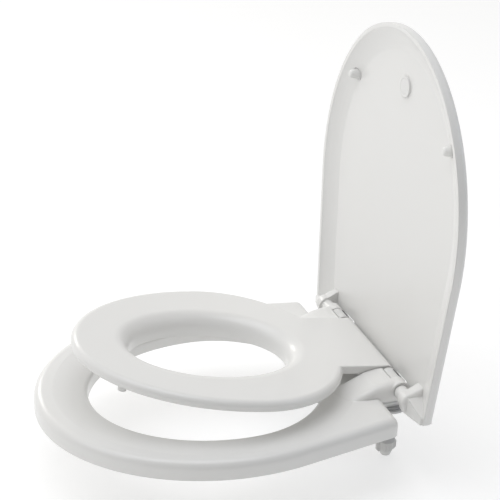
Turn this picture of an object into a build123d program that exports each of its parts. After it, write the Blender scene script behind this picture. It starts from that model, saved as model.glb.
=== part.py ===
from build123d import *
import math
import os

# Family toilet seat: adult seat, child ring and lid on one hinge line.
# Frame: origin midway between the two fixing bolts on the bowl's top face, +X to the sitter's left as
# seen from the front, -Y to the front of the bowl, +Z up. Millimetres.
# Each flap is drawn flat about the hinge axis (y = 0, z = 0) and then turned to its standing angle.

# Driving dimensions: hinge line
bolt_spacing = 155.0
hinge_height = 34.0
lid_open_angle = 92.5
ring_open_angle = 8.8
pin_radius = 3.5
pin_running_gap = 0.05
seat_gap = 0.3
side_gap = 0.7
overcut = 1.0
touch = 0.01

# Adult seat
seat_half_width = 182.5
seat_wide_y = -195.0
seat_front_y = -411.5
seat_rear_y = -22.5
seat_side_taper = 0.19
seat_bottom = -27.0
seat_top = -5.0
seat_wall = 4.0
seat_roof = 4.0
seat_edge_radius = 10.0
seat_corner_radius = 10.0
opening_half_width = 125.0
opening_wide_y = -190.0
opening_front = 158.0
opening_rear = 124.0
dish_drop = 6.0
dish_margin = 16.0
opening_edge_radius = 5.0
seat_rib_count = 18
seat_rib = 2.5

# Adult seat's hinge arms
arm_cheek = 2.5
knuckle_radius = 11.5
arm_top = 10.6
arm_length = 76.0
arm_edge_radius = 9.0
arm_crown_radius = 12.0
arm_crest_y = -14.0
arm_shoulder_y = -30.0
arm_shoulder_drop = 2.5
arm_foot_height = 8.0
arm_foot_slope = 6.0
seat_knuckle_width = 15.3
post_sweep_gap = 0.7
apron_reach = 13.0
apron_lip = -14.0

# Child ring
ring_half_width = 143.0
ring_wide_y = -182.0
ring_front = 190.0
ring_rear = 138.0
ring_top = 11.6
ring_bottom = -0.8
ring_wall = 4.0
ring_roof = 4.5
ring_top_radius = 8.0
ring_bottom_radius = 3.0
tongue_gap = 1.4
tongue_thickness = 10.5
tongue_edge_radius = 1.2
throat_half_width = 68.0
throat_wide_y = -205.0
throat_front = 98.0
throat_rear = 98.0
throat_depth = 27.0
throat_lip_radius = 19.5
throat_skirt = 4.5
throat_wall = 15.0
ring_rib_count = 12
ring_rib = 2.0

# Lid
lid_half_width = 184.4
lid_wide_y = -197.0
lid_front_y = -411.0
lid_rear_y = 14.5
lid_side_taper = 0.12
lid_rim_plane = 3.6
lid_inner_face = 14.0
lid_plate = 3.5
lid_rim_width = 5.0
lid_dish_width = 26.0
lid_edge_radius = 7.0
lid_dish_steps = 6
lid_dish_bend = 1.6
lid_knuckle_edge = 3.0
lid_knuckle_radius = 11.0
lid_knuckle_width = 26.8
lid_knuckle_cap = 3.0
lid_neck_radius = 8.5
lid_neck_width = 13.8
lid_gusset_reach = 27.0
lid_gusset_foot = 9.0
lid_corner_drop = 2.0
lid_toe_plane = 1.0
lid_knuckle_ramp = 8.0
lid_slot_gap = 1.2

# Catch between lid and child ring
catch_y = -342.0
catch_boss_radius = 13.0
catch_boss_height = 2.2
magnet_radius = 9.0
magnet_thickness = 3.0
catch_plate_thickness = 1.5

# Buffers
lid_buffer_x = 127.0
lid_buffer_y = -313.0
lid_buffer_base_radius = 7.0
lid_buffer_tip_radius = 4.5
lid_buffer_length = 12.5
lid_buffer_dome = 3.5
lid_buffer_collar = 1.2
lid_buffer_collar_wall = 1.5
buffer_foot_radius = 9.0
buffer_foot_taper = 1.5
buffer_edge_radius = 1.5
buffer_stem_radius = 3.0
buffer_stem_length = 8.0
buffer_boss_radius = 11.0
seat_buffer_places = ((85.0, -346.0), (150.0, -130.0))
ring_buffer_places = ((70.0, -333.0), (106.0, -108.0))
ring_buffer_radius = 5.0
ring_buffer_stem_radius = 2.0
ring_buffer_stem_length = 5.0
ring_boss_radius = 7.0

# Soft-close dampers and bushes
lid_damper_radius = 6.5
seat_damper_radius = 8.0
bush_radius = 6.0
bush_length = 22.0
insert_gap = 0.05

# Hinge posts and release buttons
post_width = 22.0
post_head_radius = 11.0
post_half_depth = 8.0
post_rear_depth = 2.3
post_rear_height = 9.0
post_shroud_radius = 13.2
post_shroud_top = 4.0
post_foot_radius = 19.0
post_foot_width = 26.0
post_foot_height = 5.0
post_foot_edge_radius = 2.0
post_heel_half_depth = 13.0
button_width = 14.6
button_depth = 3.8
button_front_y = 5.4
button_proud = 0.5
button_bottom = -1.0
button_travel = 2.0
button_gap = 0.15
button_groove = 0.6
button_groove_count = 4
spring_radius = 1.3
spring_wire = 0.25
spring_height = 4.0
spring_turns = 4
spring_wire_sides = 6

# Fixings below the posts
gasket_radius = 22.0
gasket_thickness = 2.5
flange_radius = 18.0
flange_thickness = 3.0
spigot_radius = 7.0
spigot_height = 9.0
spigot_neck_radius = 5.5
spigot_neck_height = 2.5
spigot_neck_rise = 4.0
spigot_chamfer = 1.5
socket_gap = 0.1
socket_end_gap = 0.5
collar_radius = 5.0
shank_radius = 4.0
shank_length = 42.0
thread_radius = 3.7
thread_length = 28.0
thread_chamfer = 1.5
washer_radius = 11.0
washer_tip_radius = 7.5
washer_height = 7.0
nut_radius = 9.0
nut_height = 20.0
nut_tip_radius = 6.0
nut_taper_height = 8.0
nut_groove_count = 16
nut_groove_radius = 0.8
nut_groove_depth = 0.5
wing_reach = 13.0
wing_thickness = 3.5
wing_height = 15.0
wing_slope = 3.0
wing_bevel = 3.0

HINGE = Pos(0, 0, hinge_height)
post_x = bolt_spacing / 2
post_inner_x = post_x - post_width / 2
post_outer_x = post_x + post_width / 2
arm_inner_x = post_inner_x - arm_cheek
tongue_half_width = arm_inner_x - tongue_gap
knuckle_inner_x = post_outer_x + side_gap
knuckle_outer_x = knuckle_inner_x + seat_knuckle_width
lid_knuckle_inner_x = knuckle_outer_x + side_gap
lid_knuckle_outer_x = lid_knuckle_inner_x + lid_knuckle_width
pin_inner_x = tongue_half_width - bush_length
pin_outer_x = lid_knuckle_outer_x - lid_knuckle_cap - side_gap
bore_radius = pin_radius + pin_running_gap
rib_reach = -seat_front_y
pieces = {}


def tapered_outline(half_width, wide_y, front_y, taper, rear_y, inset=0.0):
    """Seat plan: an elliptical front that runs into slightly closing sides and a straight rear."""
    a = half_width - inset
    b = wide_y - front_y - inset
    turn = math.atan(taper * b / a)
    join_x = a * math.cos(turn)
    join_y = wide_y + b * math.sin(turn)
    rear_x = join_x - taper * (rear_y - join_y)
    with BuildSketch() as plan:
        with BuildLine():
            past = math.degrees(turn)
            front = EllipticalCenterArc((0, wide_y), a, b, 180 - past, arc_size=180 + 2 * past)
            Polyline(front @ 1, (rear_x, rear_y), (-rear_x, rear_y), front @ 0)
        make_face()
    return plan.sketch


def egg(half_width, wide_y, front, rear, inset=0.0):
    """Oval plan with a longer front half than rear half."""
    a = half_width - inset
    with BuildSketch() as plan:
        with BuildLine():
            EllipticalCenterArc((0, wide_y), a, front - inset, 180, arc_size=180)
            EllipticalCenterArc((0, wide_y), a, rear - inset, 0, arc_size=180)
        make_face()
    return plan.sketch


def prism(plan, bottom, top):
    return extrude(Pos(0, 0, bottom) * plan, top - bottom)


def funnel(low_plan, bottom, high_plan, top):
    return loft([Pos(0, 0, bottom) * low_plan, Pos(0, 0, top) * high_plan])


def bar_x(radius, x0, x1):
    """Round bar on the hinge axis between two stations."""
    return Pos((x0 + x1) / 2, 0, 0) * Rot(0, 90, 0) * Cylinder(radius, x1 - x0)


def block(x0, x1, y0, y1, z0, z1):
    return Pos((x0 + x1) / 2, (y0 + y1) / 2, (z0 + z1) / 2) * Box(x1 - x0, y1 - y0, z1 - z0)


def side_profile(points, x0, x1):
    """Prism across the hinge line from a closed outline in the y-z plane."""
    return extrude(Plane.YZ.offset(x0) * make_face(Polyline(*points, close=True)), x1 - x0)


def upright(radius, x, y, bottom, top):
    return Pos(x, y, (bottom + top) / 2) * Cylinder(radius, top - bottom)


def both_sides(solid):
    return [solid, mirror(solid, about=Plane.YZ)]


def ribs(count, thickness, centre_y, reach, bottom, top):
    """Fan of upright walls about a plan centre."""
    wall = block(0, reach, -thickness / 2, thickness / 2, bottom, top)
    return [Pos(0, centre_y, 0) * Rot(0, 0, 360 * (i + 0.5) / count) * wall for i in range(count)]


def edges_at(solid, z):
    """Edges that lie level at one height."""
    return solid.edges().filter_by(lambda e: abs(e.bounding_box().min.Z - z) < touch
                                   and abs(e.bounding_box().max.Z - z) < touch)


# Adult seat
def make_adult_seat():
    outline = tapered_outline(seat_half_width, seat_wide_y, seat_front_y, seat_side_taper, seat_rear_y)
    opening = egg(opening_half_width, opening_wide_y, opening_front, opening_rear)
    body = prism(outline, seat_bottom, seat_top)
    body = fillet(body.edges().filter_by(Axis.Z), seat_corner_radius)
    body = fillet(edges_at(body, seat_top), seat_edge_radius)
    # dished top
    dish_width = seat_half_width - opening_half_width - dish_margin
    rim = egg(opening_half_width, opening_wide_y, opening_front, opening_rear, -dish_width)
    body -= funnel(opening, seat_top - dish_drop, rim, seat_top)
    body -= prism(opening, seat_bottom, seat_top)
    body = fillet(edges_at(body, seat_top - dish_drop), opening_edge_radius)
    # hinge arms rising to the knuckles
    foot = seat_bottom + arm_foot_height
    crown = [(-arm_length, seat_top - dish_drop), (arm_shoulder_y, arm_top - arm_shoulder_drop),
             (arm_crest_y, arm_top), (0, arm_top)]
    heel = [(0, -knuckle_radius), (seat_rear_y, -knuckle_radius), (seat_rear_y - arm_foot_slope, foot),
            (-arm_length, foot)]
    arm = side_profile(crown + heel, arm_inner_x, knuckle_outer_x)
    arm = fillet(arm.edges().filter_by(Axis.X).sort_by(Axis.Z)[-3:-1], arm_crown_radius)
    arm = fillet(arm.edges().group_by(Axis.X)[-1].sort_by(Axis.Z)[-3:], arm_edge_radius)
    ring_room = egg(ring_half_width, ring_wide_y, ring_front, ring_rear, -side_gap)
    arm -= prism(ring_room, ring_bottom - side_gap, arm_top)
    for side in both_sides(arm + bar_x(knuckle_radius, knuckle_inner_x, knuckle_outer_x)):
        body += side
    # apron under the child ring's tongue
    apron_root = seat_rear_y - overcut
    apron_bottom = apron_lip - seat_wall
    apron = [(apron_root, seat_top - dish_drop), (-apron_reach, apron_lip), (-apron_reach, apron_bottom),
             (apron_root, apron_bottom)]
    body += side_profile(apron, -tongue_half_width, tongue_half_width)
    # clearance round each post's head, and the damper's seat in each knuckle
    head = bar_x(post_head_radius + button_proud + post_sweep_gap, arm_inner_x - overcut, knuckle_inner_x)
    head += block(arm_inner_x - overcut, knuckle_inner_x, -post_half_depth - side_gap, overcut,
                  -knuckle_radius - overcut, 0)
    seat = bar_x(seat_damper_radius + insert_gap, knuckle_inner_x - overcut, knuckle_outer_x + overcut)
    for side in both_sides(head + seat):
        body -= side
    # hollow underside with ribs and buffer bosses
    roof = seat_top - dish_drop - seat_roof
    hollow = prism(tapered_outline(seat_half_width, seat_wide_y, seat_front_y, seat_side_taper,
                                   seat_rear_y - seat_wall, seat_wall), seat_bottom, roof)
    hollow -= prism(egg(opening_half_width, opening_wide_y, opening_front, opening_rear, -seat_wall),
                    seat_bottom, roof)
    for rib in ribs(seat_rib_count, seat_rib, opening_wide_y, rib_reach, seat_bottom, roof):
        hollow -= rib
    for x, y in seat_buffer_places:
        for side in both_sides(upright(buffer_boss_radius, x, y, seat_bottom, roof)):
            hollow -= side
    body -= hollow
    for x, y in seat_buffer_places:
        stem = upright(buffer_stem_radius + insert_gap, x, y, seat_bottom, seat_bottom + buffer_stem_length)
        for side in both_sides(stem):
            body -= side
    return body


# Child ring
def make_child_ring():
    body = prism(egg(ring_half_width, ring_wide_y, ring_front, ring_rear), ring_bottom, ring_top)
    body = fillet(edges_at(body, ring_top), ring_top_radius)
    body = fillet(edges_at(body, ring_bottom), ring_bottom_radius)
    # tongue back to the hinge line
    tongue = block(-tongue_half_width, tongue_half_width, ring_wide_y / 2, 0,
                   ring_top - tongue_thickness, ring_top)
    body += fillet(tongue.edges().filter_by(Axis.Y).group_by(Axis.Z)[-1], tongue_edge_radius)
    body += bar_x(ring_top, -tongue_half_width, tongue_half_width)
    # deep throat with a rolled lip
    throat = egg(throat_half_width, throat_wide_y, throat_front, throat_rear)
    body += prism(egg(throat_half_width, throat_wide_y, throat_front, throat_rear, -throat_skirt),
                  ring_top - throat_depth, ring_bottom + overcut)
    body -= prism(throat, ring_top - throat_depth - overcut, ring_top + overcut)
    lip = edges_at(body, ring_top).filter_by(lambda e: e.center().Y < throat_wide_y + throat_rear + overcut
                                             and e.bounding_box().max.X < throat_half_width + overcut)
    body = fillet(lip, throat_lip_radius)
    # hollow underside with ribs and buffer bosses
    roof = ring_top - ring_roof
    under = ring_bottom - overcut
    hollow = prism(egg(ring_half_width, ring_wide_y, ring_front, ring_rear, ring_wall), under, roof)
    funnel_wall = egg(throat_half_width, throat_wide_y, throat_front, throat_rear, -throat_wall)
    hollow -= prism(funnel_wall, under, roof)
    for rib in ribs(ring_rib_count, ring_rib, throat_wide_y, rib_reach, under, roof):
        hollow -= rib
    for x, y in ring_buffer_places:
        for side in both_sides(upright(ring_boss_radius, x, y, under, roof)):
            hollow -= side
    body -= hollow
    for x, y in ring_buffer_places:
        stem = upright(ring_buffer_stem_radius + insert_gap, x, y, under,
                       ring_bottom + ring_buffer_stem_length)
        for side in both_sides(stem):
            body -= side
    # seats for the bushes in the barrel
    for side in both_sides(bar_x(bush_radius + insert_gap, pin_inner_x, tongue_half_width + overcut)):
        body -= side
    return body


# Lid
def make_lid():
    back = lid_inner_face + lid_plate
    shape = (lid_half_width, lid_wide_y, lid_front_y, lid_side_taper)
    body = prism(tapered_outline(*shape, lid_rear_y), lid_rim_plane, back)
    body = fillet(edges_at(body, back), lid_edge_radius)
    # dished inside, open at the rear
    depth = lid_inner_face - lid_rim_plane
    levels = []
    for step in range(lid_dish_steps + 1):
        turn = math.pi / 2 * step / lid_dish_steps
        inset = lid_rim_width + lid_dish_width * (1 - math.cos(turn) ** lid_dish_bend)
        level = tapered_outline(*shape, lid_rear_y + lid_dish_width, inset)
        levels.append(Pos(0, 0, lid_rim_plane + depth * math.sin(turn) ** lid_dish_bend) * level)
    body -= loft(levels, ruled=True)
    # knuckles, each with a gusset out to the rear corner
    corner = (lid_rear_y, -lid_rim_plane - lid_corner_drop)
    reach = math.hypot(*corner)
    meet = math.atan2(corner[1], corner[0]) - math.acos(lid_knuckle_radius / reach)
    tangent = (lid_knuckle_radius * math.cos(meet), lid_knuckle_radius * math.sin(meet))
    inside = lid_inner_face + lid_plate / 2
    boss_x = lid_knuckle_inner_x + lid_neck_width
    cheek = [(-lid_knuckle_radius, 0), (-lid_knuckle_radius - lid_knuckle_ramp, inside),
             (lid_rear_y, inside), corner, tangent, (0, 0)]
    knuckle = side_profile(cheek, boss_x, lid_knuckle_outer_x)
    knuckle += bar_x(lid_knuckle_radius, boss_x, lid_knuckle_outer_x)
    outer_edges = knuckle.edges().filter_by(lambda e: e.bounding_box().min.X > lid_knuckle_outer_x - touch
                                            and e.center().Z < lid_inner_face)
    knuckle = fillet(outer_edges, lid_knuckle_edge)
    x0 = lid_knuckle_outer_x - lid_knuckle_edge - overcut
    x1 = lid_knuckle_outer_x + lid_gusset_reach
    root = [(-lid_gusset_foot, inside), (lid_rear_y, inside), corner, (-lid_gusset_foot, corner[1])]
    toe = [(lid_rear_y - lid_gusset_foot, inside), (lid_rear_y, inside), (lid_rear_y, lid_toe_plane),
           (lid_rear_y - lid_gusset_foot, lid_toe_plane)]
    knuckle += loft([Plane.YZ.offset(x0) * make_face(Polyline(*root, close=True)),
                     Plane.YZ.offset(x1) * make_face(Polyline(*toe, close=True))], ruled=True)
    knuckle += bar_x(lid_neck_radius, lid_knuckle_inner_x, boss_x)
    seat = bar_x(lid_damper_radius + insert_gap, lid_knuckle_inner_x - overcut,
                 lid_knuckle_outer_x - lid_knuckle_cap)
    half_slot = post_foot_width / 2 + side_gap
    slot = block(post_x - half_slot, post_x + half_slot, -post_rear_depth - lid_slot_gap,
                 lid_rear_y + overcut, lid_inner_face - overcut, back + overcut)
    collar = upright(lid_buffer_base_radius + lid_buffer_collar_wall, lid_buffer_x, lid_buffer_y,
                     lid_inner_face - lid_buffer_collar, inside)
    pocket = upright(lid_buffer_base_radius + insert_gap, lid_buffer_x, lid_buffer_y,
                     lid_inner_face - lid_buffer_length, lid_inner_face)
    for side in both_sides(knuckle) + both_sides(collar):
        body += side
    for side in both_sides(seat) + both_sides(slot) + both_sides(pocket):
        body -= side
    # boss for the catch magnet
    boss_face = lid_inner_face - catch_boss_height
    body += upright(catch_boss_radius, 0, catch_y, boss_face, inside)
    body -= upright(magnet_radius + insert_gap, 0, catch_y, boss_face, boss_face + magnet_thickness)
    return body


def dish_height(x, y, foot_radius):
    """Height of the adult seat's dished top under a round foot.

    The opening's oval is grown until it meets the foot's middle.
    """
    dish_width = seat_half_width - opening_half_width - dish_margin
    length = opening_front if y < opening_wide_y else opening_rear
    low, high = 0.0, dish_width
    for _ in range(40):
        grow = (low + high) / 2
        level = math.hypot(x / (opening_half_width + grow), (y - opening_wide_y) / (length + grow))
        low, high = (grow, high) if level > 1 else (low, grow)
    return seat_top - dish_drop * (1 - (grow + foot_radius) / dish_width)


# Buffers, catch, dampers and bushes
def make_lid_buffer():
    peg = Cone(lid_buffer_tip_radius, lid_buffer_base_radius, lid_buffer_length)
    peg = fillet(peg.edges().sort_by(Axis.Z)[0], lid_buffer_dome)
    return Pos(lid_buffer_x, lid_buffer_y, lid_inner_face - lid_buffer_length / 2) * peg


def make_seat_buffer(x, y):
    foot = Pos(0, 0, (seat_bottom - hinge_height) / 2) * Cone(
        buffer_foot_radius - buffer_foot_taper, buffer_foot_radius, hinge_height + seat_bottom)
    foot = fillet(foot.edges().sort_by(Axis.Z)[0], buffer_edge_radius)
    foot += upright(buffer_stem_radius, 0, 0, seat_bottom, seat_bottom + buffer_stem_length)
    return Pos(x, y, 0) * foot


def make_ring_buffer(x, y):
    sole = dish_height(x, y, ring_buffer_radius) + seat_gap
    pad = upright(ring_buffer_radius, x, y, sole, ring_bottom)
    return pad + upright(ring_buffer_stem_radius, x, y, ring_bottom, ring_bottom + ring_buffer_stem_length)


def make_sleeve(radius, x0, x1):
    return bar_x(radius, x0, x1) - bar_x(bore_radius, x0 - overcut, x1 + overcut)


# Hinge posts, release buttons and fixings, drawn about the bolt's line with the bowl at z = 0
flange_top = gasket_thickness + flange_thickness
thread_end = shank_length + thread_length
button_y = button_front_y + button_depth / 2
pocket_floor = button_bottom - spring_height


def make_post():
    foot_top = flange_top + post_foot_height
    foot = Circle(post_foot_radius) & Rectangle(post_foot_width, 2 * post_foot_radius)
    foot = prism(foot, flange_top, foot_top)
    foot = fillet(edges_at(foot, foot_top), post_foot_edge_radius)
    waist = hinge_height - post_head_radius
    body = foot + funnel(Rectangle(post_width, 2 * post_heel_half_depth), foot_top,
                         Rectangle(post_width, 2 * post_half_depth), waist)
    body += block(-post_width / 2, post_width / 2, -post_half_depth, post_half_depth, waist, hinge_height)
    # recess behind the pillar for the opened lid's rear edge, and a shroud behind the head
    body -= block(-post_width, post_width, post_rear_depth, post_foot_radius,
                  waist - post_rear_height, waist)
    body += HINGE * bar_x(post_head_radius, -post_width / 2, post_width / 2)
    shroud = bar_x(post_shroud_radius, -post_width / 2, post_width / 2)
    shroud &= block(-post_width, post_width, 0, post_shroud_radius, -post_head_radius, post_shroud_top)
    body += HINGE * shroud
    body -= HINGE * bar_x(pin_radius + insert_gap, -post_width, post_width)
    body -= upright(spigot_radius + socket_gap, 0, 0, flange_top - overcut,
                    flange_top + spigot_height + socket_end_gap)
    half_slot = button_width / 2 + button_gap
    body -= HINGE * block(-half_slot, half_slot, button_front_y - button_gap,
                          button_front_y + button_depth + button_gap, pocket_floor,
                          post_head_radius + overcut)
    return body


def make_button():
    outer = post_head_radius + button_proud
    key = block(-button_width / 2, button_width / 2, button_front_y, button_front_y + button_depth,
                button_bottom, outer) & bar_x(outer, -button_width, button_width)
    first = math.asin(button_front_y / outer)
    last = math.asin((button_front_y + button_depth) / outer)
    for i in range(button_groove_count):
        turn = first + (last - first) * (i + 0.5) / button_groove_count
        key -= Pos(0, outer * math.sin(turn), outer * math.cos(turn)) * bar_x(
            button_groove / 2, -button_width, button_width)
    return HINGE * key


def make_spring():
    rise = spring_height - 2 * spring_wire
    coil = Helix(rise / spring_turns, rise, spring_radius)
    section = Plane(coil @ 0, z_dir=coil % 0) * RegularPolygon(spring_wire, spring_wire_sides)
    wire = sweep(section, path=coil)
    return HINGE * Pos(0, button_y, pocket_floor + spring_wire) * wire


def make_bolt():
    top = flange_top + spigot_height
    neck = flange_top + spigot_neck_rise
    profile = [(0, top), (spigot_radius - spigot_chamfer, top), (spigot_radius, top - spigot_chamfer),
               (spigot_radius, neck + spigot_neck_height), (spigot_neck_radius, neck + spigot_neck_height),
               (spigot_neck_radius, neck), (spigot_radius, neck), (spigot_radius, flange_top),
               (flange_radius, flange_top), (flange_radius, gasket_thickness),
               (collar_radius, gasket_thickness), (collar_radius, 0), (shank_radius, 0),
               (shank_radius, -shank_length)]
    profile += [(thread_radius, -shank_length), (thread_radius, -thread_end + thread_chamfer),
                (thread_radius - thread_chamfer, -thread_end), (0, -thread_end)]
    return revolve(Plane.XZ * make_face(Polyline(*profile, close=True)), Axis.Z)


def make_gasket():
    ring = upright(gasket_radius, 0, 0, 0, gasket_thickness)
    return ring - upright(collar_radius + insert_gap, 0, 0, -overcut, gasket_thickness + overcut)


def make_washer():
    cone = Pos(0, 0, -shank_length - washer_height / 2) * Cone(washer_radius, washer_tip_radius,
                                                               washer_height)
    return cone - upright(thread_radius + insert_gap, 0, 0, -thread_end, 0)


def make_nut():
    top = -shank_length - washer_height
    tip = top - nut_height
    bevel = tip + nut_taper_height
    body = upright(nut_radius, 0, 0, bevel, top)
    body += Pos(0, 0, (tip + bevel) / 2) * Cone(nut_tip_radius, nut_radius, nut_taper_height)
    groove = upright(nut_groove_radius, nut_radius + nut_groove_radius - nut_groove_depth, 0, tip, top)
    for i in range(nut_groove_count):
        body -= Rot(0, 0, 360 * i / nut_groove_count) * groove
    wing_low = top - wing_height
    wing = side_profile([(0, top), (wing_reach, top - wing_slope), (wing_reach, wing_low + wing_bevel),
                         (wing_reach - wing_bevel, wing_low), (0, wing_low)],
                        -wing_thickness / 2, wing_thickness / 2)
    body += wing + mirror(wing, about=Plane.XZ)
    return body - upright(thread_radius + insert_gap, 0, 0, -2 * thread_end, 0)


def add_pair(name, solid):
    """A piece of the sitter's left half and its mirror image."""
    pieces[name + "_left"] = solid
    pieces[name + "_right"] = mirror(solid, about=Plane.YZ)


lid_place = HINGE * Rot(-lid_open_angle, 0, 0)
ring_place = HINGE * Rot(-ring_open_angle, 0, 0)
pieces["lid"] = lid_place * make_lid()
add_pair("lid_buffer", lid_place * make_lid_buffer())
boss_face = lid_inner_face - catch_boss_height
pieces["catch_magnet"] = lid_place * upright(magnet_radius, 0, catch_y, boss_face,
                                             boss_face + magnet_thickness)
add_pair("lid_damper", lid_place * make_sleeve(lid_damper_radius, lid_knuckle_inner_x,
                                               lid_knuckle_outer_x - lid_knuckle_cap))
pieces["child_ring"] = ring_place * make_child_ring()
for place, (x, y) in zip(("front", "rear"), ring_buffer_places):
    add_pair(f"ring_buffer_{place}", ring_place * make_ring_buffer(x, y))
plate_top = ring_top - ring_roof
plate_bottom = plate_top - catch_plate_thickness
pieces["catch_plate"] = ring_place * upright(magnet_radius, 0, catch_y, plate_bottom, plate_top)
add_pair("ring_bush", ring_place * make_sleeve(bush_radius, pin_inner_x, tongue_half_width))
pieces["adult_seat"] = HINGE * make_adult_seat()
for place, (x, y) in zip(("front", "rear"), seat_buffer_places):
    add_pair(f"seat_buffer_{place}", HINGE * make_seat_buffer(x, y))
add_pair("seat_damper", HINGE * make_sleeve(seat_damper_radius, knuckle_inner_x, knuckle_outer_x))
add_pair("hinge_pin", HINGE * bar_x(pin_radius, pin_inner_x + side_gap, pin_outer_x))
at_post = Pos(post_x, 0, 0)
add_pair("hinge_post", at_post * make_post())
add_pair("release_button", at_post * make_button())
add_pair("button_spring", at_post * make_spring())
add_pair("fixing_bolt", at_post * make_bolt())
add_pair("base_gasket", at_post * make_gasket())
add_pair("cone_washer", at_post * make_washer())
add_pair("wing_nut", at_post * make_nut())

os.makedirs("parts", exist_ok=True)
for name, solid in pieces.items():
    print(name, solid.is_valid, round(solid.volume / 1000, 1))
    export_step(solid, f"parts/{name}.step")
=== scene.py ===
"""Family toilet seat: finishes, bolt threads and studio for its lid, child ring, adult seat and hinges."""
import math
from collections import namedtuple

import bmesh
import bpy
from bpy.props import FloatProperty, FloatVectorProperty, IntProperty, PointerProperty
from bpy.types import Operator, Panel, PropertyGroup
from mathutils import Matrix, Vector


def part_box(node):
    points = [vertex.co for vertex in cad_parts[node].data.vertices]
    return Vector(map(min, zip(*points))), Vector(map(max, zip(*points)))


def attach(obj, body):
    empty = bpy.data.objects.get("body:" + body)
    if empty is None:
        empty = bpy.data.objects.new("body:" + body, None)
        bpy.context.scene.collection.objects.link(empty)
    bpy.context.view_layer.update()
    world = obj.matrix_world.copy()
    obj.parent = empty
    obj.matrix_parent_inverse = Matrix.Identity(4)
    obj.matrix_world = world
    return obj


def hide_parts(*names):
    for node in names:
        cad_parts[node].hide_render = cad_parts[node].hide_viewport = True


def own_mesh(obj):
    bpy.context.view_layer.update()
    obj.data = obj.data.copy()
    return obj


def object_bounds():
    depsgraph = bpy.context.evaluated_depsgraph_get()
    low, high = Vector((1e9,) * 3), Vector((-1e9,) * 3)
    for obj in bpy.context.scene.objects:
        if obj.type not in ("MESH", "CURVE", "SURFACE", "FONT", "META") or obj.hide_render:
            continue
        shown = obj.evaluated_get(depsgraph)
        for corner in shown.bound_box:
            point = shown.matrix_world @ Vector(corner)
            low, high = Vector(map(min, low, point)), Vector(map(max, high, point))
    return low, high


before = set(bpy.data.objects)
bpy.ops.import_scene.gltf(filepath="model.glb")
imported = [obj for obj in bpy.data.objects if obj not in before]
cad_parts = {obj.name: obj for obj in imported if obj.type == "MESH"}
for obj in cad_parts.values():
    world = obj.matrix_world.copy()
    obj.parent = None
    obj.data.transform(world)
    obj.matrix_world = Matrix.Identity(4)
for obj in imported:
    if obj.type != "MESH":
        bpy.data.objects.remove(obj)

bl_info = {
    "name": "Family toilet seat",
    "version": (1, 0, 0),
    "blender": (4, 5, 0),
    "location": "3D View > Sidebar > Family seat",
    "description": "Dresses the packed family toilet seat and sets up its studio",
    "category": "Object",
}

CAD_BOX = [list(corner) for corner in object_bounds()]
SIDES = ("left", "right")
FULL_TURN = 2.0 * math.pi
SHARP_EDGE = math.radians(35.0)

# Moulded shells: detail and spread of each pattern, and how far down a face has to look to be eroded
MOULDING_IOR = 1.49
DRIFT_DETAIL = 3.0
RUB_DETAIL = 4.0
RUB_SPREAD = 0.1
PEEL_DETAIL = 1.0
EDGE_SAMPLES = 8
SATIN_DETAIL = 3.0
SATIN_SPREAD = 0.08
SATIN_FROM = -0.5
SATIN_FULL = -0.8

# Satin plastics and rubbers: share of the colour left in dark flecks, width and depth of a fleck, dullness
Grain = namedtuple("Grain", "dark_share cell depth roughness")
SPECKLE_DETAIL = 5.0
SPECKLE_SPREAD = 0.08
PEG_GRAIN = Grain(0.98, 0.0012, 0.00001, 0.38)
MAGNET_GRAIN = Grain(0.98, 0.002, 0.00001, 0.4)
PAD_GRAIN = Grain(0.97, 0.0011, 0.00001, 0.5)
BUSH_GRAIN = Grain(0.95, 0.0016, 0.00001, 0.4)
FOOT_GRAIN = Grain(0.93, 0.0009, 0.00002, 0.62)
DAMPER_GRAIN = Grain(0.88, 0.0014, 0.00002, 0.5)
POST_GRAIN = Grain(0.95, 0.0008, 0.00002, 0.42)
BUTTON_GRAIN = Grain(0.95, 0.0007, 0.00002, 0.45)
BOLT_GRAIN = Grain(0.94, 0.001, 0.00002, 0.4)
GASKET_GRAIN = Grain(0.85, 0.0007, 0.00003, 0.65)
WASHER_GRAIN = Grain(0.9, 0.0007, 0.00003, 0.6)
NUT_GRAIN = Grain(0.94, 0.001, 0.00002, 0.4)

# Drawn metal: the lines that drawing leaves
LINE_WIDTH = 0.0006
LINE_STRETCH = 0.03
LINE_DETAIL = 4.0
LINE_DEPTH = 0.00002
LINE_DARK_SHARE = 0.85
LINE_SPREAD = 0.1
METAL_ROUGHNESS = 0.4

# Floor and camera
FLOOR_SIDES = 96
FLOOR_PATCH = 0.8
FLOOR_DETAIL = 2.0
FLOOR_SOFT_SHARE = 0.985
FLOOR_ROUGHNESS = 0.9
SENSOR_WIDTH_MM = 36.0
VIEW_REACH = 200.0


def pair(name):
    """A piece's names on the two sides of the hinge line."""
    return [f"{name}_{side}" for side in SIDES]


def colour(name, description, default):
    """A colour setting."""
    return FloatVectorProperty(name=name, description=description, subtype="COLOR", size=3, min=0.0, max=1.0,
                               default=default)


def share(name, description, default):
    """A setting from 0 to 1."""
    return FloatProperty(name=name, description=description, subtype="FACTOR", min=0.0, max=1.0,
                         default=default)


def length(name, description, default):
    """A length setting in metres."""
    return FloatProperty(name=name, description=description, subtype="DISTANCE", unit="LENGTH", precision=5,
                         default=default)


def angle(name, description, degrees):
    """An angle setting."""
    return FloatProperty(name=name, description=description, subtype="ANGLE", unit="ROTATION",
                         default=math.radians(degrees))


def point(name, description, default):
    """A place in the shared frame."""
    return FloatVectorProperty(name=name, description=description, subtype="TRANSLATION", unit="LENGTH",
                               size=3, default=default)


def power(name, description, default):
    """A lamp's power in watts."""
    return FloatProperty(name=name, description=description, subtype="POWER", unit="POWER", min=0.0,
                         default=default)


def strength(name, description, default):
    """Strength of a glow."""
    return FloatProperty(name=name, description=description, min=0.0, default=default)


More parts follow.
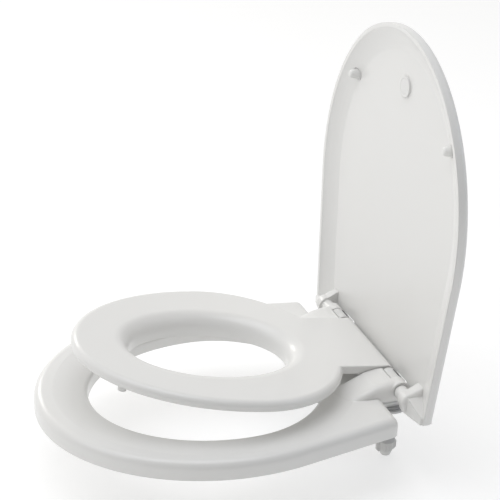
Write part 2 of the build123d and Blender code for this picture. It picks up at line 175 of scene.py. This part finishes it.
class ShellFinish(PropertyGroup):
    """Moulded gloss plastic of the lid, child ring and adult seat."""
    white: colour("White", "Main colour of the moulded shells", (0.787, 0.785, 0.777))
    warm_white: colour("Warm white", "Faint drift of the colour across a moulding", (0.772, 0.769, 0.752))
    drift_size: length("Drift size", "Width of one patch of the drift", 0.22)
    roughness: share("Roughness", "How soft the gloss is", 0.33)
    rub_size: length("Rub size", "Width of the patches where the gloss is a little duller", 0.035)
    skin: share("Skin", "Weight of the smooth skin left by the mould", 0.35)
    skin_roughness: share("Skin roughness", "How soft that skin's gloss is", 0.12)
    ripple: length("Ripple", "Height of the faint orange peel", 0.00001)
    ripple_size: length("Ripple size", "Width of one orange peel cell", 0.006)
    satin_roughness: share("Satin roughness", "Dullness of the eroded undersides", 0.55)
    satin_grain: length("Satin grain", "Depth of the eroded grain on the undersides", 0.00003)
    satin_grain_size: length("Satin grain size", "Width of one grain on the undersides", 0.0009)
    edge_softness: length("Edge softness", "Radius that the mould leaves on sharp edges", 0.0020)


class HardwareFinish(PropertyGroup):
    """Hinge, damper, fixing and buffer finishes."""
    hinge_white: colour("Hinge white", "Satin plastic of the posts", (0.74, 0.74, 0.73))
    # Painted shade: the release buttons get a dark grey that stands in for the shade in the slots round
    # them.
    button_slot_shade: colour("Button grey", "Dark grey painted on the release buttons as the shade of their slots", (0.15, 0.15, 0.155))
    peg_white: colour("Peg white", "Soft plastic of the lid's pegs", (0.79, 0.79, 0.78))
    pad_white: colour("Pad white", "Soft plastic of the child ring's pads", (0.76, 0.76, 0.75))
    foot_white: colour("Foot white", "Rubber of the adult seat's feet", (0.68, 0.68, 0.67))
    damper_grey: colour("Damper grey", "Housing of the soft-close dampers", (0.42, 0.43, 0.44))
    bush_cream: colour("Bush cream", "Natural plastic of the child ring's bushes", (0.66, 0.65, 0.61))
    bolt_nylon: colour("Bolt nylon", "Fixing bolts", (0.38, 0.38, 0.385))
    nut_nylon: colour("Nut nylon", "Wing nuts", (0.66, 0.66, 0.65))
    gasket_grey: colour("Gasket grey", "Rubber of the base gaskets", (0.60, 0.60, 0.60))
    washer_grey: colour("Washer grey", "Rubber of the cone washers", (0.56, 0.56, 0.56))
    steel: colour("Steel", "Pins, springs and catch plate", (0.56, 0.56, 0.57))
    magnet_white: colour("Magnet white", "Lacquer on the catch magnet", (0.78, 0.78, 0.77))


class BoltShape(PropertyGroup):
    """Fixing bolt: a spigot and flange above the bowl, and a threaded shank below it."""
    spigot_radius: length("Spigot radius", "Plug that the hinge post snaps on to", 0.007)
    spigot_height: length("Spigot height", "Plug above the flange", 0.009)
    spigot_chamfer: length("Spigot chamfer", "Lead-in at the plug's top", 0.0015)
    neck_radius: length("Neck radius", "Snap groove in the plug", 0.0055)
    neck_rise: length("Neck rise", "Snap groove above the flange", 0.004)
    neck_height: length("Neck height", "Width of the snap groove", 0.0025)
    flange_radius: length("Flange radius", "Disc under the hinge post", 0.018)
    flange_top: length("Flange top", "Disc's upper face above the bowl", 0.0055)
    flange_bottom: length("Flange bottom", "Disc's lower face above the bowl", 0.0025)
    collar_radius: length("Collar radius", "Collar inside the gasket", 0.005)
    shank_radius: length("Shank radius", "Plain shank through the bowl", 0.004)
    thread_top: length("Thread top", "Depth of the plain shank below the bowl's top face", 0.042)
    thread_radius: length("Thread radius", "Crest of the thread", 0.0037)
    thread_depth: length("Thread depth", "Crest to root", 0.0006)
    thread_pitch: length("Thread pitch", "Rise of one turn", 0.00175)
    tip_chamfer: length("Tip chamfer", "Lead-in at the bolt's lower end", 0.0015)
    sides: IntProperty(name="Sides", description="Flats round the bolt", default=64, min=8)
    steps: IntProperty(name="Steps", description="Rings in one turn of thread", default=12, min=4)


class Studio(PropertyGroup):
    """Floor, light and camera."""
    floor_white: colour("Floor", "Pale floor", (0.55, 0.55, 0.55))
    floor_radius: length("Floor radius", "Reach of the floor", 60.0)
    floor_glow: strength("Floor glow", "Light that the floor gives back", 0.525)
    sky: strength("Sky", "Soft light from all round", 0.485)
    sky_tint: colour("Sky tint", "Colour of the soft light", (1.0, 0.985, 0.955))
    sky_lean: FloatVectorProperty(name="Sky lean", subtype="XYZ", size=3, default=(-0.88, -0.36, 0.1),
                                  description="Side that the sky is brighter on, and by how much")
    top_power: power("Top light", "Soft box overhead", 20.0)
    top_tint: colour("Top tint", "Colour of the top light", (0.95, 0.96, 1.0))
    top_place: point("Top place", "Where the top light hangs", (0.0, -0.2, 2.6))
    top_size: length("Top size", "Side of the top light", 1.8)
    front_power: power("Front light", "Soft box high before the seat", 11.0)
    front_tint: colour("Front tint", "Colour of the front light", (0.93, 0.96, 1.0))
    front_place: point("Front place", "Where the front light hangs", (0.0, -1.6, 2.2))
    front_size: length("Front size", "Side of the front light", 1.8)
    far_power: power("Far light", "Soft box beyond the seat's far side", 9.0)
    far_tint: colour("Far tint", "Colour of the far light", (1.0, 0.98, 0.93))
    far_place: point("Far place", "Where the far light stands", (-2.4, -0.8, 1.2))
    far_size: length("Far size", "Side of the far light", 0.8)
    rear_power: power("Rear light", "Soft box behind the lid", 9.0)
    rear_tint: colour("Rear tint", "Colour of the rear light", (0.72, 0.84, 1.0))
    rear_place: point("Rear place", "Where the rear light stands", (0.8, 2.4, 1.2))
    rear_size: length("Rear size", "Side of the rear light", 1.8)
    azimuth: angle("Azimuth", "Where the camera stands round the seat", 68.8627)
    elevation: angle("Elevation", "Height of the camera above the horizon", 26.2142)
    roll: angle("Roll", "Turn of the picture", 1.9145)
    distance: length("Distance", "Camera to aim point", 1.88468)
    aim: point("Aim", "Point that the camera looks at", (-0.0150, -0.1498, 0.1846))
    lens: FloatProperty(name="Lens", description="Focal length in millimetres", unit="CAMERA", min=1.0,
                        default=116.129)


class SeatSettings(PropertyGroup):
    """All settings of the seat and its studio."""
    shell: PointerProperty(type=ShellFinish, name="Shells", description="Finish of the three mouldings")
    hardware: PointerProperty(type=HardwareFinish, name="Hardware", description="Finishes of small pieces")
    bolt: PointerProperty(type=BoltShape, name="Bolt", description="Shape of the fixing bolts")
    studio: PointerProperty(type=Studio, name="Studio", description="Floor, light and camera")


def settings(context):
    """The scene's settings of the seat."""
    return context.scene.family_seat


def add_node(tree, kind, inputs=None, **values):
    """A shader node with its settings, and its sockets set or linked."""
    node = tree.nodes.new(kind)
    for name, value in values.items():
        setattr(node, name, value)
    for name, value in (inputs or {}).items():
        if isinstance(value, bpy.types.NodeSocket):
            tree.links.new(value, node.inputs[name])
        else:
            node.inputs[name].default_value = value
    return node


def noise(tree, place, cell, detail, stretch=(1.0, 1.0, 1.0)):
    """Noise whose cells are about that many metres wide."""
    scaled = add_node(tree, "ShaderNodeMapping", {"Vector": place, "Scale": stretch}).outputs["Vector"]
    pattern = add_node(tree, "ShaderNodeTexNoise", {"Vector": scaled, "Scale": 1.0 / cell, "Detail": detail})
    return pattern.outputs["Fac"]


def between(tree, factor, low, high, start=0.0, end=1.0):
    """A value that runs from low to high while the factor runs from start to end."""
    return add_node(tree, "ShaderNodeMapRange", {"Value": factor, "From Min": start, "From Max": end,
                                                 "To Min": low, "To Max": high}).outputs["Result"]


def blended(tree, factor, first, second):
    """A colour that runs from first to second with the factor."""
    mix = add_node(tree, "ShaderNodeMix", {"Factor": factor}, data_type="RGBA")
    mix.inputs["A"].default_value = (*first, 1.0)
    mix.inputs["B"].default_value = (*second, 1.0)
    return mix.outputs["Result"]


def mixed(tree, factor, first, second):
    """A value that runs from one socket's to another's with the factor."""
    mix = add_node(tree, "ShaderNodeMix", {"Factor": factor}, data_type="FLOAT")
    tree.links.new(first, mix.inputs["A"])
    tree.links.new(second, mix.inputs["B"])
    return mix.outputs["Result"]


def new_material(name):
    """An empty material with its shader and texture coordinates."""
    material = bpy.data.materials.new(name)
    material.use_nodes = True
    tree = material.node_tree
    shader = tree.nodes["Principled BSDF"]
    texture_space = add_node(tree, "ShaderNodeTexCoord").outputs
    return material, tree, shader, texture_space


def set_sockets(shader, **values):
    """Sets plain values on the shader's own sockets."""
    for name, value in values.items():
        shader.inputs[name.replace("_", " ")].default_value = value


def relief(tree, height, depth, normal=None):
    """Surface normal with a fine relief of that depth."""
    inputs = {"Height": height, "Distance": depth, "Strength": 1.0}
    if normal:
        inputs["Normal"] = normal
    return add_node(tree, "ShaderNodeBump", inputs).outputs["Normal"]


def gloss_shell(name, finish):
    """Injection-moulded white: gloss with a faint orange peel, a slow drift of tone and soft edges."""
    material, tree, shader, space = new_material(name)
    place = space["Object"]
    drift = noise(tree, place, finish.drift_size, DRIFT_DETAIL)
    tree.links.new(blended(tree, drift, finish.white, finish.warm_white), shader.inputs["Base Color"])
    rub = noise(tree, place, finish.rub_size, RUB_DETAIL)
    polish = between(tree, rub, finish.roughness * (1.0 - RUB_SPREAD), finish.roughness * (1.0 + RUB_SPREAD))
    tree.links.new(polish, shader.inputs["Roughness"])
    set_sockets(shader, Coat_Weight=finish.skin, Coat_Roughness=finish.skin_roughness, IOR=MOULDING_IOR)
    rounded = add_node(tree, "ShaderNodeBevel", {"Radius": finish.edge_softness}, samples=EDGE_SAMPLES)
    peel = noise(tree, place, finish.ripple_size, PEEL_DETAIL)
    tree.links.new(relief(tree, peel, finish.ripple, rounded.outputs["Normal"]), shader.inputs["Normal"])
    return material


def satin_underside(material, finish):
    """Dulls a shell's downward faces, which the mould leaves eroded."""
    tree = material.node_tree
    shader = tree.nodes["Principled BSDF"]
    space = add_node(tree, "ShaderNodeTexCoord").outputs
    facing = add_node(tree, "ShaderNodeSeparateXYZ", {"Vector": space["Normal"]}).outputs["Z"]
    under = between(tree, facing, 1.0, 0.0, SATIN_FULL, SATIN_FROM)
    fleck = noise(tree, space["Object"], finish.satin_grain_size, SATIN_DETAIL)
    dullness = finish.satin_roughness
    dull = between(tree, fleck, dullness - SATIN_SPREAD, dullness + SATIN_SPREAD)
    polish = shader.inputs["Roughness"].links[0].from_socket
    tree.links.new(mixed(tree, under, polish, dull), shader.inputs["Roughness"])
    smooth = shader.inputs["Normal"].links[0].from_socket
    eroded = add_node(tree, "ShaderNodeMath", {0: fleck, 1: under}, operation="MULTIPLY").outputs["Value"]
    tree.links.new(relief(tree, eroded, finish.satin_grain, smooth), shader.inputs["Normal"])


def speckled(name, tone, texture):
    """Satin moulded plastic or rubber with a fine eroded grain."""
    material, tree, shader, space = new_material(name)
    fleck = noise(tree, space["Object"], texture.cell, SPECKLE_DETAIL)
    dark = [c * texture.dark_share for c in tone]
    dull = between(tree, fleck, texture.roughness + SPECKLE_SPREAD, texture.roughness - SPECKLE_SPREAD)
    tree.links.new(blended(tree, fleck, dark, tone), shader.inputs["Base Color"])
    tree.links.new(dull, shader.inputs["Roughness"])
    tree.links.new(relief(tree, fleck, texture.depth), shader.inputs["Normal"])
    return material


def drawn_metal(name, tone, along):
    """Metal with fine drawing lines along one axis."""
    material, tree, shader, space = new_material(name)
    stretch = [LINE_STRETCH if axis == along else 1.0 for axis in "XYZ"]
    line = noise(tree, space["Object"], LINE_WIDTH, LINE_DETAIL, stretch)
    dark = [c * LINE_DARK_SHARE for c in tone]
    dull = between(tree, line, METAL_ROUGHNESS + LINE_SPREAD, METAL_ROUGHNESS - LINE_SPREAD)
    tree.links.new(blended(tree, line, dark, tone), shader.inputs["Base Color"])
    tree.links.new(dull, shader.inputs["Roughness"])
    tree.links.new(relief(tree, line, LINE_DEPTH), shader.inputs["Normal"])
    set_sockets(shader, Metallic=1.0)
    return material


def dress(nodes, material):
    """Gives the material to CAD nodes."""
    for name in nodes:
        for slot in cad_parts[name].material_slots:
            slot.material = material


class SEAT_OT_lid(Operator):
    """Finish the lid as a gloss moulding"""
    bl_idname = "family_seat.lid"
    bl_label = "Lid"

    def execute(self, context):
        dress(["lid"], gloss_shell("lid_gloss_white", settings(context).shell))
        return {"FINISHED"}


class SEAT_OT_lid_pegs(Operator):
    """Finish the two tapered pegs inside the lid"""
    bl_idname = "family_seat.lid_pegs"
    bl_label = "Lid pegs"

    def execute(self, context):
        tone = settings(context).hardware.peg_white
        dress(pair("lid_buffer"), speckled("soft_white_peg", tone, PEG_GRAIN))
        return {"FINISHED"}


class SEAT_OT_catch(Operator):
    """Finish the lid's magnet and the steel plate under the child ring"""
    bl_idname = "family_seat.catch"
    bl_label = "Catch"

    def execute(self, context):
        finish = settings(context).hardware
        dress(["catch_magnet"], speckled("lacquered_magnet", finish.magnet_white, MAGNET_GRAIN))
        dress(["catch_plate"], drawn_metal("rolled_plate", finish.steel, "Y"))
        return {"FINISHED"}


class SEAT_OT_child_ring(Operator):
    """Finish the child ring as a gloss moulding with a satin underside"""
    bl_idname = "family_seat.child_ring"
    bl_label = "Child ring"

    def execute(self, context):
        finish = settings(context).shell
        gloss = gloss_shell("child_ring_gloss_white", finish)
        satin_underside(gloss, finish)
        dress(["child_ring"], gloss)
        return {"FINISHED"}


class SEAT_OT_ring_pads(Operator):
    """Finish the four pads under the child ring"""
    bl_idname = "family_seat.ring_pads"
    bl_label = "Child ring pads"

    def execute(self, context):
        tone = settings(context).hardware.pad_white
        dress(pair("ring_buffer_front") + pair("ring_buffer_rear"),
              speckled("soft_white_pad", tone, PAD_GRAIN))
        return {"FINISHED"}


class SEAT_OT_ring_bushes(Operator):
    """Finish the bushes in the child ring's barrel"""
    bl_idname = "family_seat.ring_bushes"
    bl_label = "Child ring bushes"

    def execute(self, context):
        tone = settings(context).hardware.bush_cream
        dress(pair("ring_bush"), speckled("natural_bush", tone, BUSH_GRAIN))
        return {"FINISHED"}


class SEAT_OT_adult_seat(Operator):
    """Finish the adult seat as a gloss moulding with a satin underside"""
    bl_idname = "family_seat.adult_seat"
    bl_label = "Adult seat"

    def execute(self, context):
        finish = settings(context).shell
        gloss = gloss_shell("adult_seat_gloss_white", finish)
        satin_underside(gloss, finish)
        dress(["adult_seat"], gloss)
        return {"FINISHED"}


class SEAT_OT_seat_feet(Operator):
    """Finish the four rubber feet under the adult seat"""
    bl_idname = "family_seat.seat_feet"
    bl_label = "Adult seat feet"

    def execute(self, context):
        tone = settings(context).hardware.foot_white
        dress(pair("seat_buffer_front") + pair("seat_buffer_rear"),
              speckled("white_rubber_foot", tone, FOOT_GRAIN))
        return {"FINISHED"}


class SEAT_OT_dampers(Operator):
    """Finish the soft-close dampers in the knuckles"""
    bl_idname = "family_seat.dampers"
    bl_label = "Dampers"

    def execute(self, context):
        tone = settings(context).hardware.damper_grey
        dress(pair("lid_damper") + pair("seat_damper"),
              speckled("damper_housing", tone, DAMPER_GRAIN))
        return {"FINISHED"}


class SEAT_OT_hinge_pins(Operator):
    """Finish the two steel hinge pins"""
    bl_idname = "family_seat.hinge_pins"
    bl_label = "Hinge pins"

    def execute(self, context):
        dress(pair("hinge_pin"), drawn_metal("drawn_pin", settings(context).hardware.steel, "X"))
        return {"FINISHED"}


class SEAT_OT_hinge_posts(Operator):
    """Finish the two hinge posts"""
    bl_idname = "family_seat.hinge_posts"
    bl_label = "Hinge posts"

    def execute(self, context):
        tone = settings(context).hardware.hinge_white
        dress(pair("hinge_post"), speckled("satin_post", tone, POST_GRAIN))
        return {"FINISHED"}


class SEAT_OT_release_buttons(Operator):
    """Finish the ribbed release buttons in dark grey, which is painted shade standing in for the shade in
    their slots
    """
    bl_idname = "family_seat.release_buttons"
    bl_label = "Release buttons"

    def execute(self, context):
        # Painted shade: the buttons are coloured dark grey to stand in for the shade of their slots.
        tone = settings(context).hardware.button_slot_shade
        dress(pair("release_button"), speckled("satin_button", tone, BUTTON_GRAIN))
        return {"FINISHED"}


class SEAT_OT_button_springs(Operator):
    """Finish the springs under the release buttons, which they shorten with"""
    bl_idname = "family_seat.button_springs"
    bl_label = "Button springs"

    def execute(self, context):
        dress(pair("button_spring"), drawn_metal("spring_wire", settings(context).hardware.steel, "Z"))
        for side in SIDES:
            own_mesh(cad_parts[f"button_spring_{side}"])
        return {"FINISHED"}


def lathe(name, rings, sides):
    """Closed turned body. Each ring is a height and a function that gives its radius at a turn of 0 to 1."""
    form = bmesh.new()
    loops = []
    for height, radius in rings:
        loop = []
        for i in range(sides):
            turn = i / sides
            reach = radius(turn)
            around = FULL_TURN * turn
            loop.append(form.verts.new((reach * math.cos(around), reach * math.sin(around), height)))
        loops.append(loop)
    for upper, lower in zip(loops, loops[1:]):
        for i in range(sides):
            j = (i + 1) % sides
            form.faces.new((upper[i], lower[i], lower[j], upper[j]))
    form.faces.new(loops[0])
    form.faces.new(reversed(loops[-1]))
    bmesh.ops.recalc_face_normals(form, faces=form.faces)
    for face in form.faces:
        face.smooth = True
    mesh = bpy.data.meshes.new(name)
    form.to_mesh(mesh)
    form.free()
    mesh.set_sharp_from_angle(angle=SHARP_EDGE)
    body = bpy.data.objects.new(name, mesh)
    bpy.context.scene.collection.objects.link(body)
    return body


def plain(radius):
    """Radius of a ring that is round."""
    return lambda turn: radius


def threaded(bolt, height, crest):
    """Radius round a threaded ring: a V that climbs by one pitch in a turn."""
    def radius(turn):
        phase = (height / bolt.thread_pitch - turn) % 1.0
        return crest - bolt.thread_depth * (1.0 - abs(2.0 * phase - 1.0))
    return radius


def bolt_rings(bolt, tip):
    """The bolt's rings from its spigot down to its tip, which is that far below the bowl's top face."""
    top = bolt.flange_top + bolt.spigot_height
    neck_bottom = bolt.flange_top + bolt.neck_rise
    neck_top = neck_bottom + bolt.neck_height
    rings = [(top, plain(bolt.spigot_radius - bolt.spigot_chamfer)),
             (top - bolt.spigot_chamfer, plain(bolt.spigot_radius)),
             (neck_top, plain(bolt.spigot_radius)), (neck_top, plain(bolt.neck_radius)),
             (neck_bottom, plain(bolt.neck_radius)), (neck_bottom, plain(bolt.spigot_radius)),
             (bolt.flange_top, plain(bolt.spigot_radius)), (bolt.flange_top, plain(bolt.flange_radius)),
             (bolt.flange_bottom, plain(bolt.flange_radius)),
             (bolt.flange_bottom, plain(bolt.collar_radius)),
             (0.0, plain(bolt.collar_radius)), (0.0, plain(bolt.shank_radius)),
             (-bolt.thread_top, plain(bolt.shank_radius))]
    step = bolt.thread_pitch / bolt.steps
    count = int((tip - bolt.thread_top) / step)
    for i in range(count + 1):
        height = -bolt.thread_top - i * (tip - bolt.thread_top) / count
        taper = max(0.0, bolt.tip_chamfer - (tip + height))
        rings.append((height, threaded(bolt, height, bolt.thread_radius - taper)))
    return rings


class SEAT_OT_fixing_bolts(Operator):
    """Turn the two fixing bolts with their thread"""
    bl_idname = "family_seat.fixing_bolts"
    bl_label = "Fixing bolts"

    def execute(self, context):
        bolt = settings(context).bolt
        nylon = speckled("bolt_nylon", settings(context).hardware.bolt_nylon, BOLT_GRAIN)
        for node in pair("fixing_bolt"):
            low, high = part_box(node)
            body = lathe(f"threaded_{node}", bolt_rings(bolt, -low[2]), bolt.sides)
            body.location = ((low[0] + high[0]) / 2, (low[1] + high[1]) / 2, 0.0)
            body.data.materials.append(nylon)
            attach(body, "hinge_base")
            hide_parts(node)
        return {"FINISHED"}


class SEAT_OT_base_gaskets(Operator):
    """Finish the gaskets under the hinge posts"""
    bl_idname = "family_seat.base_gaskets"
    bl_label = "Base gaskets"

    def execute(self, context):
        tone = settings(context).hardware.gasket_grey
        dress(pair("base_gasket"), speckled("gasket_rubber", tone, GASKET_GRAIN))
        return {"FINISHED"}


class SEAT_OT_cone_washers(Operator):
    """Finish the cone washers under the bowl"""
    bl_idname = "family_seat.cone_washers"
    bl_label = "Cone washers"

    def execute(self, context):
        tone = settings(context).hardware.washer_grey
        dress(pair("cone_washer"), speckled("washer_rubber", tone, WASHER_GRAIN))
        return {"FINISHED"}


class SEAT_OT_wing_nuts(Operator):
    """Finish the ribbed wing nuts"""
    bl_idname = "family_seat.wing_nuts"
    bl_label = "Wing nuts"

    def execute(self, context):
        tone = settings(context).hardware.nut_nylon
        dress(pair("wing_nut"), speckled("nut_nylon", tone, NUT_GRAIN))
        return {"FINISHED"}


def make_floor(studio):
    """Wide pale floor under the fixings, which gives some light back."""
    lowest = CAD_BOX[0][2]
    bpy.ops.mesh.primitive_circle_add(vertices=FLOOR_SIDES, radius=studio.floor_radius, fill_type="NGON",
                                      location=(0, 0, lowest))
    floor = bpy.context.object
    floor.name = "studio_floor"
    material, tree, shader, space = new_material("pale_floor")
    tone = noise(tree, space["Object"], FLOOR_PATCH, FLOOR_DETAIL)
    soft = [c * FLOOR_SOFT_SHARE for c in studio.floor_white]
    tree.links.new(blended(tree, tone, soft, studio.floor_white), shader.inputs["Base Color"])
    set_sockets(shader, Roughness=FLOOR_ROUGHNESS, Emission_Color=(1, 1, 1, 1),
                Emission_Strength=studio.floor_glow)
    floor.data.materials.append(material)


def make_sky(studio):
    """Soft light from all round: brighter on the side that it leans to, and darker on the other."""
    world = bpy.data.worlds.new("studio_sky")
    world.use_nodes = True
    tree = world.node_tree
    background = tree.nodes["Background"]
    background.inputs["Color"].default_value = (*studio.sky_tint, 1.0)
    way = add_node(tree, "ShaderNodeTexCoord").outputs["Generated"]
    lean = add_node(tree, "ShaderNodeVectorMath", {0: way, 1: studio.sky_lean}, operation="DOT_PRODUCT")
    glow = between(tree, lean.outputs["Value"], 0.0, 2.0 * studio.sky, -1.0, 1.0)
    tree.links.new(glow, background.inputs["Strength"])
    bpy.context.scene.world = world


def make_soft_box(studio, name):
    """Square light that faces the seat."""
    lamp = bpy.data.lights.new(f"{name}_soft_box", "AREA")
    lamp.size = getattr(studio, f"{name}_size")
    lamp.energy = getattr(studio, f"{name}_power")
    lamp.color = getattr(studio, f"{name}_tint")
    box = bpy.data.objects.new(lamp.name, lamp)
    box.location = getattr(studio, f"{name}_place")
    box.rotation_euler = (Vector(studio.aim) - box.location).to_track_quat("-Z", "Y").to_euler()
    bpy.context.scene.collection.objects.link(box)


def make_camera(studio):
    """Camera at the photograph's viewing angle."""
    lens = bpy.data.cameras.new("studio_camera")
    lens.lens = studio.lens
    lens.sensor_width = SENSOR_WIDTH_MM
    lens.clip_end = VIEW_REACH
    camera = bpy.data.objects.new("studio_camera", lens)
    turn, rise = studio.azimuth, studio.elevation
    back = Vector((math.sin(turn) * math.cos(rise), -math.cos(turn) * math.cos(rise), math.sin(rise)))
    level = Vector((math.cos(turn), math.sin(turn), 0.0))
    right = Matrix.Rotation(studio.roll, 3, back) @ level
    up = back.cross(right)
    axes = Matrix((right, up, back)).transposed().to_4x4()
    camera.matrix_world = Matrix.Translation(Vector(studio.aim) + back * studio.distance) @ axes
    bpy.context.scene.collection.objects.link(camera)
    bpy.context.scene.camera = camera


class SEAT_OT_stage(Operator):
    """Set up the floor, the soft light and the camera"""
    bl_idname = "family_seat.stage"
    bl_label = "Studio"

    def execute(self, context):
        studio = settings(context).studio
        make_floor(studio)
        make_sky(studio)
        for name in ("top", "front", "far", "rear"):
            make_soft_box(studio, name)
        make_camera(studio)
        context.scene.view_settings.view_transform = "Standard"
        return {"FINISHED"}


OPERATORS = (
    SEAT_OT_lid, SEAT_OT_lid_pegs, SEAT_OT_catch, SEAT_OT_child_ring, SEAT_OT_ring_pads, SEAT_OT_ring_bushes,
    SEAT_OT_adult_seat, SEAT_OT_seat_feet, SEAT_OT_dampers, SEAT_OT_hinge_pins, SEAT_OT_hinge_posts,
    SEAT_OT_release_buttons, SEAT_OT_button_springs, SEAT_OT_fixing_bolts, SEAT_OT_base_gaskets,
    SEAT_OT_cone_washers, SEAT_OT_wing_nuts, SEAT_OT_stage,
)


class SEAT_PT_panel(Panel):
    """Lists the pieces of the seat and their settings"""
    bl_idname = "SEAT_PT_panel"
    bl_label = "Family seat"
    bl_space_type = "VIEW_3D"
    bl_region_type = "UI"
    bl_category = "Family seat"

    def draw(self, context):
        for operator in OPERATORS:
            self.layout.operator(operator.bl_idname)
        for group in ("shell", "hardware", "bolt", "studio"):
            owner = getattr(settings(context), group)
            for name in owner.__annotations__:
                self.layout.prop(owner, name)


CLASSES = (ShellFinish, HardwareFinish, BoltShape, Studio, SeatSettings, *OPERATORS, SEAT_PT_panel)


def register():
    for cls in CLASSES:
        bpy.utils.register_class(cls)
    bpy.types.Scene.family_seat = PointerProperty(type=SeatSettings, name="Family seat",
                                                  description="Settings of the seat and its studio")


def unregister():
    del bpy.types.Scene.family_seat
    for cls in reversed(CLASSES):
        bpy.utils.unregister_class(cls)


def main():
    register()
    bpy.ops.family_seat.lid()
    bpy.ops.family_seat.lid_pegs()
    bpy.ops.family_seat.catch()
    bpy.ops.family_seat.child_ring()
    bpy.ops.family_seat.ring_pads()
    bpy.ops.family_seat.ring_bushes()
    bpy.ops.family_seat.adult_seat()
    bpy.ops.family_seat.seat_feet()
    bpy.ops.family_seat.dampers()
    bpy.ops.family_seat.hinge_pins()
    bpy.ops.family_seat.hinge_posts()
    bpy.ops.family_seat.release_buttons()
    bpy.ops.family_seat.button_springs()
    bpy.ops.family_seat.fixing_bolts()
    bpy.ops.family_seat.base_gaskets()
    bpy.ops.family_seat.cone_washers()
    bpy.ops.family_seat.wing_nuts()
    bpy.ops.family_seat.stage()


if __name__ == "__main__":
    main()
